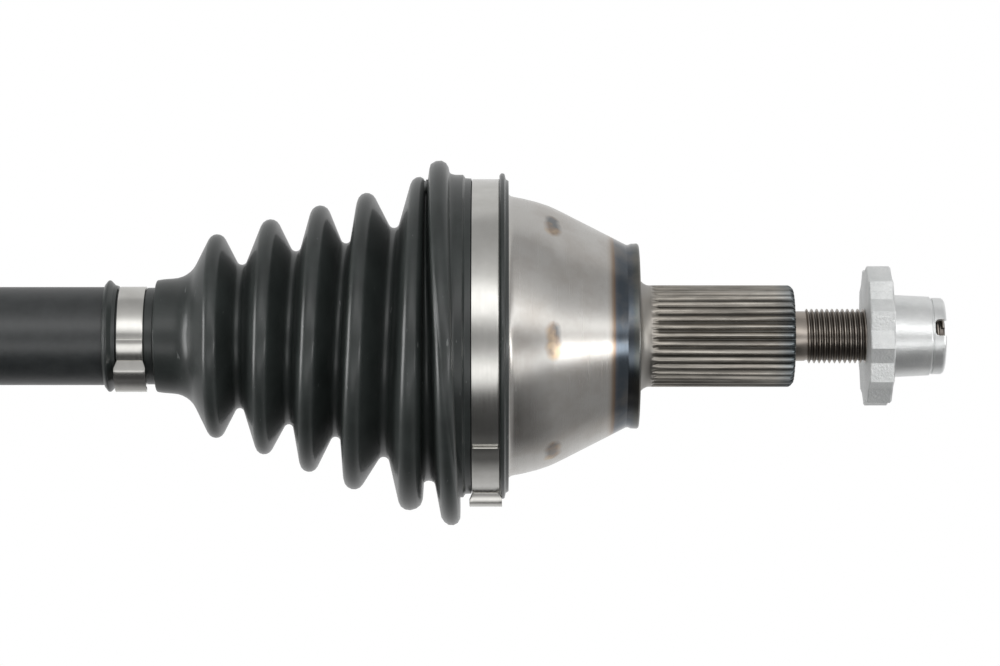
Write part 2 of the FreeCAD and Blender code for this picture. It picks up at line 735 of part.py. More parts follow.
def hub_nut():
    """Collar nut: twelve points, a plain collar and a crown with locking slots."""
    circle_radius = nut_across_flats / 2 / math.cos(math.pi / 6)
    hexagon = [
        (circle_radius * math.sin(math.pi * i / 3), circle_radius * math.cos(math.pi * i / 3))
        for i in range(6)
    ]
    six_points = prism_along(nut_face_x, nut_head_last_x, hexagon)
    head = six_points.fuse(around_axis(six_points, 30)).removeSplitter()
    head = around_axis(head, nut_head_turn)
    rounded_ends = turned([
        (nut_face_x, 0),
        (nut_face_x, circle_radius - nut_point_chamfer),
        (nut_face_x + nut_point_chamfer / 2, circle_radius),
        (nut_head_last_x - nut_point_chamfer / 2, circle_radius),
        (nut_head_last_x, circle_radius - nut_point_chamfer),
        (nut_head_last_x, 0),
    ])
    head = head.common(rounded_ends)
    crown_radius = thread_radius + crown_wall
    collar = turned([
        (nut_head_last_x - 1, 0),
        (nut_head_last_x - 1, thread_radius + collar_first_wall),
        (nut_head_last_x, thread_radius + collar_first_wall),
        (collar_last_x, thread_radius + collar_last_wall, collar_end_rounding),
        (collar_last_x, crown_radius - collar_groove_depth),
        (crown_first_x, crown_radius - collar_groove_depth),
        (crown_first_x, crown_radius),
        (nut_end_x, crown_radius, crown_rounding),
        (nut_end_x, 0),
    ])
    bore_radius = thread_radius + nut_bore_clearance
    bore = turned([
        (nut_face_x, 0),
        (nut_face_x, bore_radius + nut_mouth_chamfer),
        (nut_face_x + nut_mouth_chamfer, bore_radius),
        (stud_end_x, bore_radius),
        (stud_end_x, thread_radius + crown_bore_step),
        (nut_end_x, thread_radius + crown_bore_step),
        (nut_end_x, 0),
    ])
    slot = Part.makeBox(
        crown_slot_depth + 1, crown_slot_width, crown_radius + 1,
        FreeCAD.Vector(nut_end_x - crown_slot_depth, -crown_slot_width / 2, 0))
    slots = [
        around_axis(slot, crown_slot_first_angle + 360.0 * i / crown_slot_count)
        for i in range(crown_slot_count)
    ]
    return head.fuse(collar).removeSplitter().cut([bore] + slots)


def save(name, shape):
    shape.exportStep("parts/" + name + ".step")


os.makedirs("parts", exist_ok=True)
save("outer_race_stub", outer_race_stub())
save("ball_cage", ball_cage())
for number in range(ball_count):
    save("ball_" + str(number + 1), ball(360.0 * number / ball_count))
save("inner_race", inner_race())
save("axle_bar", axle_bar())
save("race_circlip", split_ring(race_last_x, circlip_thickness, circlip_stand, circlip_gap_angle))
save("race_stop_ring", split_ring(
    race_first_x - stop_ring_thickness, stop_ring_thickness, stop_ring_stand, circlip_gap_angle))
save("inner_end_circlip", split_ring(
    inner_circlip_first_x, circlip_thickness, circlip_stand, circlip_gap_angle))
save("cv_boot", cv_boot())
save("small_boot_clamp", ear_clamp(
    boot_neck_radius + small_clamp_gap, small_clamp_first_x, small_clamp_width,
    small_clamp_ear_angle))
save("large_boot_clamp", ear_clamp(
    boot_band_seat_radius + large_clamp_gap, large_clamp_first_x, large_clamp_width,
    large_clamp_ear_angle))
save("hub_nut", hub_nut())
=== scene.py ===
import bmesh
import bpy
import math
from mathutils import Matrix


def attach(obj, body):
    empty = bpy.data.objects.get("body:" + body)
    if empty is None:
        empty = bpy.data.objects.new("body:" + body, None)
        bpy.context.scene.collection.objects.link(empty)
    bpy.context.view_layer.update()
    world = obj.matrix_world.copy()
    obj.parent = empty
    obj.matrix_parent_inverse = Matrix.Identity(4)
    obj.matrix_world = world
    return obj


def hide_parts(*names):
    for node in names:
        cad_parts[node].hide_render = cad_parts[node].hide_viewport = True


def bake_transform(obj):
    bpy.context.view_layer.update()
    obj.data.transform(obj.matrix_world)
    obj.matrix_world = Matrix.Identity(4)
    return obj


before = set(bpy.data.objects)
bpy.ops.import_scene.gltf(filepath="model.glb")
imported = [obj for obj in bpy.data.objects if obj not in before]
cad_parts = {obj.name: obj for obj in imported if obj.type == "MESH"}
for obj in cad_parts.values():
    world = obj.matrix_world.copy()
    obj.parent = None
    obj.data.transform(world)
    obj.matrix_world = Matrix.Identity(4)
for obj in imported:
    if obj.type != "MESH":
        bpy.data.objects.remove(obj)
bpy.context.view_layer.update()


# Camera: square to the shaft and level with it, with the boot and the bell in the middle of
# the view. The bar runs out of the picture on the left.
camera_lens = bpy.data.cameras.new("camera")
camera_lens.lens = 133.2
camera_lens.sensor_width = 36.0
camera = bpy.data.objects.new("camera", camera_lens)
camera.location = (-0.0405, -1.086, 0.0009)
camera.rotation_euler = (math.radians(90), 0, 0)
bpy.context.collection.objects.link(camera)
bpy.context.scene.camera = camera
bpy.context.scene.view_settings.view_transform = "Standard"


# Studio: two long soft strips before the shaft, one above and one below the eye, a pale
# room behind it and a dark gap underneath, all drawn round the shaft's axis. One small lamp
# stands off the bar's end and a brighter one off the nut's.
def add_node(tree, kind, settings=None, inputs=None):
    """A node with its settings and with values or other nodes' outputs on its inputs."""
    made = tree.nodes.new(kind)
    for name, value in (settings or {}).items():
        setattr(made, name, value)
    for name, value in (inputs or {}).items():
        if isinstance(value, bpy.types.NodeSocket):
            tree.links.new(value, made.inputs[name])
        else:
            made.inputs[name].default_value = value
    return made


def calculate(tree, operation, *values):
    inputs = dict(enumerate(values))
    return add_node(tree, "ShaderNodeMath", {"operation": operation}, inputs).outputs[0]


def ramp(tree, factor, stops, interpolation="LINEAR"):
    """A colour for each place along a ramp, from stops of (place, grey) or
    (place, red, green, blue)."""
    made = add_node(tree, "ShaderNodeValToRGB", None, {"Fac": factor})
    made.color_ramp.interpolation = interpolation
    elements = made.color_ramp.elements
    while len(elements) < len(stops):
        elements.new(1.0)
    for element, stop in zip(elements, stops):
        element.position = stop[0]
        tone = stop[1:] if len(stop) == 4 else stop[1:] * 3
        element.color = (*tone, 1.0)
    return made.outputs["Color"]


def mix(tree, share, first, second):
    """A colour between two, by share."""
    made = add_node(tree, "ShaderNodeMix", {"data_type": "RGBA"}, {0: share, 6: first, 7: second})
    return made.outputs[2]


def spread(tree, factor, low, high):
    """A number that runs between low and high as the factor runs from 0 to 1."""
    return add_node(tree, "ShaderNodeMapRange", None, {
        "Value": factor, "To Min": low, "To Max": high}).outputs[0]


# Light met at each turn about the shaft, from 0 towards the camera through 90 overhead.
light_round_the_shaft = [
    (-180, 0.90), (-145, 0.72), (-120, 0.50), (-104, 0.20), (-96, 0.09), (-84, 0.12),
    (-76, 0.055), (-60, 0.06), (-46, 0.09), (-40, 0.30), (-36, 0.85), (-30, 1.45), (-24, 1.55),
    (-19, 1.20), (-12, 0.62), (-5, 0.37), (2, 0.32), (8, 0.62), (15, 1.25), (20, 1.70),
    (32, 1.70), (39, 1.08), (47, 0.74), (58, 0.58), (74, 0.46), (92, 0.42), (103, 0.66),
    (120, 0.70), (150, 0.70), (180, 0.90),
]
brightest = 2.0
world = bpy.data.worlds.new("studio")
world.use_nodes = True
sky = world.node_tree
sky.nodes.clear()
heading = add_node(sky, "ShaderNodeSeparateXYZ", None, {
    0: add_node(sky, "ShaderNodeTexCoord").outputs["Generated"]})
towards_camera = calculate(sky, "MULTIPLY", heading.outputs["Y"], -1.0)
turn = calculate(sky, "ARCTAN2", heading.outputs["Z"], towards_camera)
# Towards the nut the two strips run closer together, and the lower one ends in a bright lamp.
rightward = calculate(sky, "MAXIMUM", heading.outputs["X"], 0.0)
facing = calculate(sky, "MAXIMUM", calculate(sky, "COSINE", turn), 0.0)
facing = calculate(sky, "POWER", facing, 2.0)
gather = calculate(sky, "MULTIPLY_ADD", calculate(sky, "MULTIPLY", turn, facing), 0.75, 0.08)
turn = calculate(sky, "MULTIPLY_ADD", rightward, gather, turn)
share = calculate(sky, "MULTIPLY_ADD", turn, 0.5 / math.pi, 0.5)
strips = ramp(sky, share, [
    (degrees / 360 + 0.5, light / brightest) for degrees, light in light_round_the_shaft])
end_lamp = add_node(sky, "ShaderNodeMapRange", None, {
    "Value": heading.outputs["X"], "From Min": -0.985, "From Max": -0.93,
    "To Min": 1.0, "To Max": 0.0}).outputs[0]
far_end = add_node(sky, "ShaderNodeMapRange", None, {
    "Value": heading.outputs["X"], "From Min": -0.8, "From Max": -0.45,
    "To Min": 1.0, "To Max": 0.0}).outputs[0]
dimmed = mix(sky, far_end, strips, (0.10, 0.10, 0.10, 1))

# The dark gaps are filled in for what faces the nut's end.
right_end = add_node(sky, "ShaderNodeMapRange", None, {
    "Value": heading.outputs["X"], "From Min": 0.25, "From Max": 0.6}).outputs[0]
filled = add_node(sky, "ShaderNodeVectorMath", {"operation": "MAXIMUM"}, {
    0: dimmed, 1: (0.15, 0.15, 0.15)}).outputs[0]
evened = mix(sky, right_end, dimmed, filled)
right_lamp_turn = -0.42
in_strip = add_node(sky, "ShaderNodeMapRange", None, {
    "Value": calculate(sky, "ABSOLUTE", calculate(sky, "ADD", turn, -right_lamp_turn)),
    "From Min": 0.12, "From Max": 0.32, "To Min": 1.0, "To Max": 0.0}).outputs[0]
far_right = add_node(sky, "ShaderNodeMapRange", None, {
    "Value": heading.outputs["X"], "From Min": 0.70, "From Max": 0.84}).outputs[0]
right_lamp = calculate(sky, "MULTIPLY", in_strip, far_right)
glowing = mix(sky, right_lamp, evened, (2.9, 2.9, 2.9, 1))
lit = mix(sky, end_lamp, glowing, (3.4, 3.4, 3.4, 1))
room = add_node(sky, "ShaderNodeBackground", None, {"Color": lit, "Strength": brightest})
white = add_node(sky, "ShaderNodeBackground", None, {"Color": (1, 1, 1, 1), "Strength": 1.0})
seen = add_node(sky, "ShaderNodeLightPath").outputs["Is Camera Ray"]
sky_mix = add_node(sky, "ShaderNodeMixShader", None, {
    0: seen, 1: room.outputs[0], 2: white.outputs[0]})
add_node(sky, "ShaderNodeOutputWorld", None, {"Surface": sky_mix.outputs[0]})
bpy.context.scene.world = world


# Floor: a round pale sheet well below the shaft, which fades to white at its edge.
floor_radius = 1.9
bpy.ops.object.select_all(action="DESELECT")
bpy.ops.mesh.primitive_circle_add(
    vertices=96, radius=floor_radius, fill_type="NGON", location=(-0.1, 0.0, -0.3))
floor = bpy.context.object
floor.name = "floor"
bpy.ops.object.transform_apply(location=True, rotation=True, scale=True)
sheet = bpy.data.materials.new("pale floor")
sheet.use_nodes = True
tree = sheet.node_tree
tree.nodes.clear()
place = add_node(tree, "ShaderNodeTexCoord").outputs["Object"]
distance = add_node(tree, "ShaderNodeVectorMath", {"operation": "LENGTH"}, {
    0: place}).outputs["Value"]
fade = ramp(tree, calculate(tree, "DIVIDE", distance, floor_radius), [(0.35, 0.0), (0.85, 1.0)])
paper = add_node(tree, "ShaderNodeBsdfDiffuse", None, {"Color": (0.93, 0.93, 0.93, 1)})
glow = add_node(tree, "ShaderNodeEmission", None, {"Color": (1, 1, 1, 1), "Strength": 1.0})
shown = add_node(tree, "ShaderNodeMixShader", None, {
    0: fade, 1: paper.outputs[0], 2: glow.outputs[0]})
clear = add_node(tree, "ShaderNodeBsdfTransparent")
seen = add_node(tree, "ShaderNodeLightPath").outputs["Is Camera Ray"]
both = add_node(tree, "ShaderNodeMixShader", None, {
    0: seen, 1: clear.outputs[0], 2: shown.outputs[0]})
add_node(tree, "ShaderNodeOutputMaterial", None, {"Surface": both.outputs[0]})
floor.data.materials.append(sheet)


# Bar: a solid steel bar, turned at both ends for the boots' seats and the splines, and
# painted satin black between the seats.
def draw_line(name, points):
    """A line of edges in the plane above the axis, given in millimetres and drawn by
    extruding a vertex."""
    bpy.ops.object.select_all(action="DESELECT")
    x, radius = points[0][0] / 1000, points[0][1] / 1000
    bpy.ops.mesh.primitive_plane_add(size=0.001, location=(x, 0.0, radius))
    line = bpy.context.object
    line.name = name
    bpy.ops.object.transform_apply(location=True, rotation=True, scale=True)
    bpy.ops.object.mode_set(mode="EDIT")
    bpy.ops.mesh.merge(type="CENTER")
    for point in points[1:]:
        step = (point[0] / 1000 - x, 0.0, point[1] / 1000 - radius)
        bpy.ops.mesh.extrude_vertices_move(TRANSFORM_OT_translate={"value": step})
        x, radius = point[0] / 1000, point[1] / 1000
    return line


def turn_piece(name, points, steps=128, smooth_angle=32):
    """A turned piece, spun about the shaft's axis from its outline."""
    piece = draw_line(name, points)
    bpy.ops.mesh.select_all(action="SELECT")
    bpy.ops.mesh.spin(steps=steps, angle=2 * math.pi, center=(0, 0, 0), axis=(1, 0, 0))
    bpy.ops.mesh.select_all(action="SELECT")
    bpy.ops.mesh.remove_doubles(threshold=0.000004)
    bpy.ops.mesh.select_all(action="SELECT")
    bpy.ops.mesh.normals_make_consistent(inside=False)
    bpy.ops.object.mode_set(mode="OBJECT")
    bpy.ops.object.shade_smooth_by_angle(angle=math.radians(smooth_angle))
    return piece


def rounded(points):
    """Outline points with the corners that carry a third number, their radius, turned to arcs."""
    line = []
    for index, point in enumerate(points):
        if len(point) == 2:
            line.append(point)
            continue
        x, y, size = point
        before, after = points[index - 1], points[index + 1]
        back = math.atan2(before[1] - y, before[0] - x)
        ahead = math.atan2(after[1] - y, after[0] - x)
        half = ((ahead - back + math.pi) % (2 * math.pi) - math.pi) / 2
        reach = size / abs(math.tan(half))
        middle = back + half
        centre_x = x + size / abs(math.sin(half)) * math.cos(middle)
        centre_y = y + size / abs(math.sin(half)) * math.sin(middle)
        start = math.atan2(y + reach * math.sin(back) - centre_y,
                           x + reach * math.cos(back) - centre_x)
        sweep = (math.pi - 2 * abs(half)) * (1 if half < 0 else -1)
        for part in range(6):
            turned = start + sweep * part / 5
            line.append((centre_x + size * math.cos(turned), centre_y + size * math.sin(turned)))
    return line


def select_where(piece, test, kind="VERT"):
    """Leaves selected, in edit mode, only the corners, edges or faces that pass the test."""
    bpy.ops.mesh.select_mode(type=kind)
    bpy.ops.mesh.select_all(action="DESELECT")
    mesh = bmesh.from_edit_mesh(piece.data)
    items = {"VERT": mesh.verts, "EDGE": mesh.edges, "FACE": mesh.faces}[kind]
    for item in items:
        if test(item):
            item.select_set(True)
    mesh.select_flush_mode()
    bmesh.update_edit_mesh(piece.data)


def splined_shaft(name, stations, teeth, depth, gap_shape=(0.0, 0.0, 0.0, 0.5, 1.0, 0.5)):
    """A shaft with straight teeth, lofted through stations of (x, tip radius, share of the
    full depth). The gap's shape gives the depth at six places from one tooth to the next."""
    bpy.ops.object.select_all(action="DESELECT")
    x, tip = stations[0][:2]
    corners = teeth * len(gap_shape)
    bpy.ops.mesh.primitive_circle_add(
        vertices=corners, radius=tip / 1000, fill_type="NGON",
        location=(x / 1000, 0, 0), rotation=(0, math.radians(90), 0))
    shaft = bpy.context.object
    shaft.name = name
    bpy.ops.object.transform_apply(location=True, rotation=True, scale=True)
    bpy.ops.object.mode_set(mode="EDIT")
    bpy.ops.mesh.select_all(action="SELECT")
    for next_x, next_tip, share_cut in stations[1:]:
        bpy.ops.mesh.extrude_region_move(
            TRANSFORM_OT_translate={"value": ((next_x - x) / 1000, 0, 0)})
        x = next_x
        mesh = bmesh.from_edit_mesh(shaft.data)
        for vert in mesh.verts:
            if not vert.select:
                continue
            angle = math.atan2(vert.co.y, vert.co.z)
            step = round(angle / (2 * math.pi) * corners) % len(gap_shape)
            radius = (next_tip - depth * share_cut * gap_shape[step]) / 1000
            vert.co.y = radius * math.sin(angle)
            vert.co.z = radius * math.cos(angle)
        bmesh.update_edit_mesh(shaft.data)
    bpy.ops.mesh.select_all(action="SELECT")
    bpy.ops.mesh.normals_make_consistent(inside=False)
    bpy.ops.object.mode_set(mode="OBJECT")
    bpy.ops.object.shade_smooth_by_angle(angle=math.radians(28))
    return shaft


def join_pieces(name, pieces):
    bpy.ops.object.select_all(action="DESELECT")
    for piece in pieces:
        piece.select_set(True)
    bpy.context.view_layer.objects.active = pieces[0]
    bpy.ops.object.join()
    whole = bpy.context.object
    whole.name = name
    return whole


def new_finish(name, roughness, metallic=0.0):
    """A material with its surface shader, and the place on the piece that its patterns follow."""
    made = bpy.data.materials.new(name)
    made.use_nodes = True
    tree = made.node_tree
    tree.nodes.clear()
    shader = add_node(tree, "ShaderNodeBsdfPrincipled", None, {
        "Roughness": roughness, "Metallic": metallic})
    add_node(tree, "ShaderNodeOutputMaterial", None, {"Surface": shader.outputs[0]})
    place = add_node(tree, "ShaderNodeTexCoord").outputs["Object"]
    return made, tree, shader, place


def stretched(tree, place, scale):
    """The pattern's place with its own scale along each axis."""
    return add_node(tree, "ShaderNodeMapping", None, {0: place, "Scale": scale}).outputs[0]


def cloudy(tree, place, scale=1.0, detail=4.0, roughness=0.55):
    return add_node(tree, "ShaderNodeTexNoise", None, {
        "Vector": place, "Scale": scale, "Detail": detail, "Roughness": roughness}).outputs["Fac"]


def set_bump(tree, shader, height, depth, strength=1.0):
    bump = add_node(tree, "ShaderNodeBump", None, {
        "Height": height, "Distance": depth, "Strength": strength})
    tree.links.new(bump.outputs[0], shader.inputs["Normal"])


bar_body = turn_piece("painted_bar", rounded([
    (-322.0, 0.0), (-322.0, 11.0), (-311.6, 11.0), (-311.6, 11.9), (-309.6, 11.9),
    (-309.0, 11.6), (-308.4, 11.9), (-303.8, 11.9), (-303.2, 11.6), (-302.6, 11.9),
    (-300.6, 11.9, 0.9), (-299.4, 14.4, 1.4), (-155.2, 14.4, 1.4), (-154.0, 11.5, 0.9),
    (-152.0, 11.5), (-151.4, 11.2), (-150.8, 11.5), (-144.2, 11.5), (-143.6, 11.2),
    (-143.0, 11.5), (-141.0, 11.5), (-141.0, 11.0), (-54.5, 11.0), (-49.2, 10.0), (-49.2, 0.0),
]), 96)
inner_spline = splined_shaft("inner_spline", [
    (-358.0, 10.3, 0.9), (-357.0, 11.3, 1.0), (-355.4, 11.3, 1.0), (-355.35, 9.9, 0.0),
    (-353.6, 9.9, 0.0), (-353.55, 11.3, 1.0), (-327.6, 11.3, 1.0), (-326.4, 10.0, 0.0),
    (-321.5, 11.0, 0.0), (-321.0, 10.5, 0.0)], 24, 0.9)
wheel_spline = splined_shaft("wheel_spline", [
    (-49.7, 9.9, 0.0), (-48.05, 9.9, 0.0), (-48.0, 11.3, 1.0), (-27.05, 11.3, 1.0),
    (-27.0, 9.9, 0.0), (-25.25, 9.9, 0.0), (-25.2, 11.3, 1.0), (-23.6, 11.3, 1.0),
    (-22.6, 10.3, 0.9), (-22.55, 9.8, 0.0)], 24, 0.9)
bar = join_pieces("axle_shaft", [bar_body, inner_spline, wheel_spline])

bar_paint, tree, shader, place = new_finish("bar paint and bare ends", 0.4)
shader.inputs["IOR"].default_value = 1.7
along = add_node(tree, "ShaderNodeSeparateXYZ", None, {0: place}).outputs["X"]

# The paint covers the bar between its seats. A place on the ramp is twice X, in metres, and 0.8.
painted = ramp(tree, calculate(tree, "MULTIPLY_ADD", along, 2.0, 0.8), [
    (0.1755, 0.0), (0.1775, 1.0), (0.4895, 1.0), (0.4915, 0.0)])
mottle = cloudy(tree, place, 210.0, 5.0, 0.6)
black = ramp(tree, mottle, [(0.3, 0.015, 0.018, 0.019), (0.7, 0.028, 0.032, 0.033)])
rings = cloudy(tree, stretched(tree, place, (2600, 40, 40)), 1.0, 2.0)
bare = ramp(tree, rings, [(0.25, 0.30, 0.28, 0.25), (0.75, 0.46, 0.44, 0.41)])
tree.links.new(mix(tree, painted, bare, black), shader.inputs["Base Color"])
tree.links.new(calculate(tree, "SUBTRACT", 1.0, painted), shader.inputs["Metallic"])
orange_peel = cloudy(tree, place, 620.0, 2.0)
set_bump(tree, shader, orange_peel, 0.00008, 0.5)
tree.links.new(spread(tree, mottle, 0.30, 0.44), shader.inputs["Roughness"])
bar.data.materials.clear()
bar.data.materials.append(bar_paint)
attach(bar, "shaft")
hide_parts("axle_bar")


# Rings on the bar, the race, the cage and its six balls: hardened steel, ground and
# greased, inside the bell. The boot hides them.
ground, tree, shader, place = new_finish("ground race steel", 0.26, 1.0)
grain = cloudy(tree, stretched(tree, place, (900, 300, 300)), 1.0, 3.0)
tree.links.new(ramp(tree, grain, [(0.3, 0.34, 0.33, 0.32), (0.7, 0.46, 0.45, 0.43)]),
               shader.inputs["Base Color"])
tree.links.new(spread(tree, grain, 0.18, 0.34), shader.inputs["Roughness"])
polished, tree, shader, place = new_finish("polished ball steel", 0.08, 1.0)
film = cloudy(tree, place, 160.0, 3.0)
tree.links.new(ramp(tree, film, [(0.3, 0.60, 0.59, 0.57), (0.7, 0.72, 0.71, 0.70)]),
               shader.inputs["Base Color"])
tree.links.new(spread(tree, film, 0.05, 0.14), shader.inputs["Roughness"])
phosphate, tree, shader, place = new_finish("phosphated spring steel", 0.5, 0.8)
crystals = cloudy(tree, place, 1500.0, 4.0)
tree.links.new(ramp(tree, crystals, [(0.3, 0.07, 0.07, 0.07), (0.7, 0.15, 0.15, 0.14)]),
               shader.inputs["Base Color"])
set_bump(tree, shader, crystals, 0.00003, 0.6)
finishes = {"inner_race": ground, "ball_cage": ground, "race_circlip": phosphate,
            "race_stop_ring": phosphate, "inner_end_circlip": phosphate}
for number in range(6):
    finishes["ball_" + str(number + 1)] = polished
for name, finish in finishes.items():
    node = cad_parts[name]
    if not node.material_slots:
        node.data.materials.append(finish)
    for material_slot in node.material_slots:
        material_slot.material = finish


# Boot: a bellows moulded in black rubber. It grips the bar's seat at one end and the
# bell's rim at the other, and its pleats lean and sag a little between them.
def pleat_line(circles, steps=6):
    """Points over the crests and under the valleys, on circles of (x, top, rounding)."""
    centres = [(x, top - size) for x, top, size in circles]
    headings = []
    for index in range(len(circles) - 1):
        (x0, y0), (x1, y1) = centres[index], centres[index + 1]
        heading = math.atan2(y1 - y0, x1 - x0)
        gap = math.hypot(x1 - x0, y1 - y0)
        headings.append(heading - math.asin((circles[index][2] - circles[index + 1][2]) / gap))
    line = []
    for index in range(1, len(circles) - 1):
        x, y = centres[index]
        size = circles[index][2]
        for part in range(steps + 1):
            way = headings[index - 1] + (headings[index] - headings[index - 1]) * part / steps
            line.append((x - size * math.sin(way), y + size * math.cos(way)))
    return line


pleats = pleat_line([
    (-146.6, 16.4, -8.0), (-136.6, 16.9, -8.0), (-123.6, 29.9, 2.5), (-116.5, 21.05, -1.6),
    (-108.7, 34.5, 2.6), (-101.4, 25.4, -1.6), (-94.8, 39.1, 2.7), (-87.2, 28.4, -1.6),
    (-81.4, 43.5, 2.8), (-73.1, 33.6, -1.7), (-65.6, 48.9, 2.9), (-61.3, 40.3, -1.3),
    (-56.4, 53.5, 2.6), (-53.2, 47.3, -1.2), (-51.6, 47.3, 0.6),
])
boot_outline = rounded([
    (-156.0, 14.5), (-156.1, 15.2, 0.2), (-154.9, 16.7, 0.6), (-153.3, 15.0, 0.4), (-152.3, 14.7),
    (-152.2, 13.4), (-143.9, 13.4), (-143.8, 14.2, 0.2), (-141.5, 14.2, 0.2), (-141.0, 16.4, 0.5),
    (-139.0, 16.7),
]) + pleats + rounded([
    (-51.3, 47.3), (-50.6, 46.3, 0.3), (-48.9, 46.2), (-48.7, 45.25), (-40.7, 45.25),
    (-40.65, 47.1, 0.3), (-40.1, 47.8, 0.4), (-39.2, 47.6, 0.4), (-38.8, 46.0, 0.2),
    (-38.0, 45.5, 0.2), (-37.95, 43.1), (-53.9, 43.1),
])
boot = turn_piece("pleated_boot", boot_outline, 144, 50)

# How far each place leans to the right for each millimetre up, and how far it hangs down.
lean_by_place = [(-150, 0.0), (-124, 0.005), (-116.5, 0.014), (-109, 0.03), (-101, 0.04),
                 (-95, 0.045), (-87, 0.052), (-81, 0.045), (-73, 0.044), (-65.6, 0.033),
                 (-61, 0.0), (-58.5, -0.033), (-53.2, -0.033)]
sag_by_place = [(-124, 0.0), (-109, 0.2), (-95, 0.75), (-81, 1.5), (-65.6, 2.2), (-56.4, 2.0),
                (-53.2, 2.0)]

# Overhead, the last crest is pressed against its neighbour and the valley between is folded up.
press_by_place = [(-62.5, 0.0), (-61.2, 1.1), (-60.0, 1.2), (-59.0, 0.8), (-57.8, 0.35),
                  (-56.4, 0.0)]
folded_from = -64.0
folded_to = -58.5
folded_radius = 46.6

# From the last crest on, only what stands above its foot is free to lean and sag. The rest
# grips the bell, as the other end does the bar.
bar_seat_x = -152.0
bell_seat_x = -53.2
last_crest_x = -57.0
last_crest_foot = 47.3
last_crest_top = 50.5


def read_between(table, x):
    """The value at a place, from a table of (place, value), held level past its ends."""
    if x <= table[0][0] or x >= table[-1][0]:
        return table[0][1] if x <= table[0][0] else table[-1][1]
    for (x0, y0), (x1, y1) in zip(table, table[1:]):
        if x <= x1:
            return y0 + (y1 - y0) * (x - x0) / (x1 - x0)


for vertex in boot.data.vertices:
    x = vertex.co.x * 1000
    radius = math.hypot(vertex.co.y, vertex.co.z) * 1000
    upward = max(0.0, vertex.co.z * 1000 / radius)
    if folded_from < x < folded_to and radius < folded_radius:
        lift = 1 + (folded_radius / radius - 1) * upward ** 2
        vertex.co.y *= lift
        vertex.co.z *= lift
    if bar_seat_x < x < bell_seat_x:
        free = 1.0
        if x > last_crest_x:
            free = (radius - last_crest_foot) / (last_crest_top - last_crest_foot)
            free = min(1.0, max(0.0, free))
        vertex.co.x += vertex.co.z * read_between(lean_by_place, x) * free
        vertex.co.x -= upward * read_between(press_by_place, x) / 1000
        vertex.co.z -= read_between(sag_by_place, x) / 1000 * free

wall = boot.modifiers.new("wall", "SOLIDIFY")
wall.thickness = 0.0016
wall.offset = -1.0
bpy.ops.object.select_all(action="DESELECT")
boot.select_set(True)
bpy.context.view_layer.objects.active = boot
bpy.ops.object.modifier_apply(modifier="wall")

rubber, tree, shader, place = new_finish("moulded black rubber", 0.42)
bloom = cloudy(tree, place, 70.0, 6.0, 0.6)
skin = ramp(tree, bloom, [(0.3, 0.016, 0.020, 0.019), (0.7, 0.034, 0.041, 0.039)])
rubs = cloudy(tree, stretched(tree, place, (900, 260, 260)), 1.0, 3.0)
scuffs = ramp(tree, rubs, [(0.70, 0.0), (0.76, 0.7)])
tree.links.new(mix(tree, scuffs, skin, (0.16, 0.17, 0.165, 1)), shader.inputs["Base Color"])
tree.links.new(spread(tree, bloom, 0.34, 0.52), shader.inputs["Roughness"])
shader.inputs["Coat Weight"].default_value = 0.35
shader.inputs["Coat Roughness"].default_value = 0.14

# The last crest keeps a slanting crease where it was folded. It moves along the shaft with
# the turn about it, and fades at both its ends.
parts = add_node(tree, "ShaderNodeSeparateXYZ", None, {0: place})
to_camera = calculate(tree, "MULTIPLY", parts.outputs["Y"], -1.0)
rise = calculate(tree, "ARCTAN2", parts.outputs["Z"], to_camera)
crease_slant = 0.00581
crease_start = 0.05778
crease_half_width = 0.0009
crease_x = calculate(tree, "MULTIPLY_ADD", rise, crease_slant, crease_start)
aside = calculate(tree, "ABSOLUTE", calculate(tree, "ADD", parts.outputs["X"], crease_x))
crease = add_node(tree, "ShaderNodeMapRange", None, {
    "Value": aside, "From Max": crease_half_width}).outputs[0]
past_ends = ramp(tree, calculate(tree, "MULTIPLY_ADD", rise, 0.5 / math.pi, 0.5), [
    (0.335, 1.0), (0.35, 0.0), (0.54, 0.0), (0.555, 1.0)])
crease = calculate(tree, "MAXIMUM", crease, past_ends)
grain = cloudy(tree, place, 1300.0, 3.0)
set_bump(tree, shader, calculate(tree, "MULTIPLY_ADD", grain, 0.12, crease), 0.0005, 0.5)
boot.data.materials.clear()
boot.data.materials.append(rubber)
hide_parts("cv_boot")
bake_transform(boot)


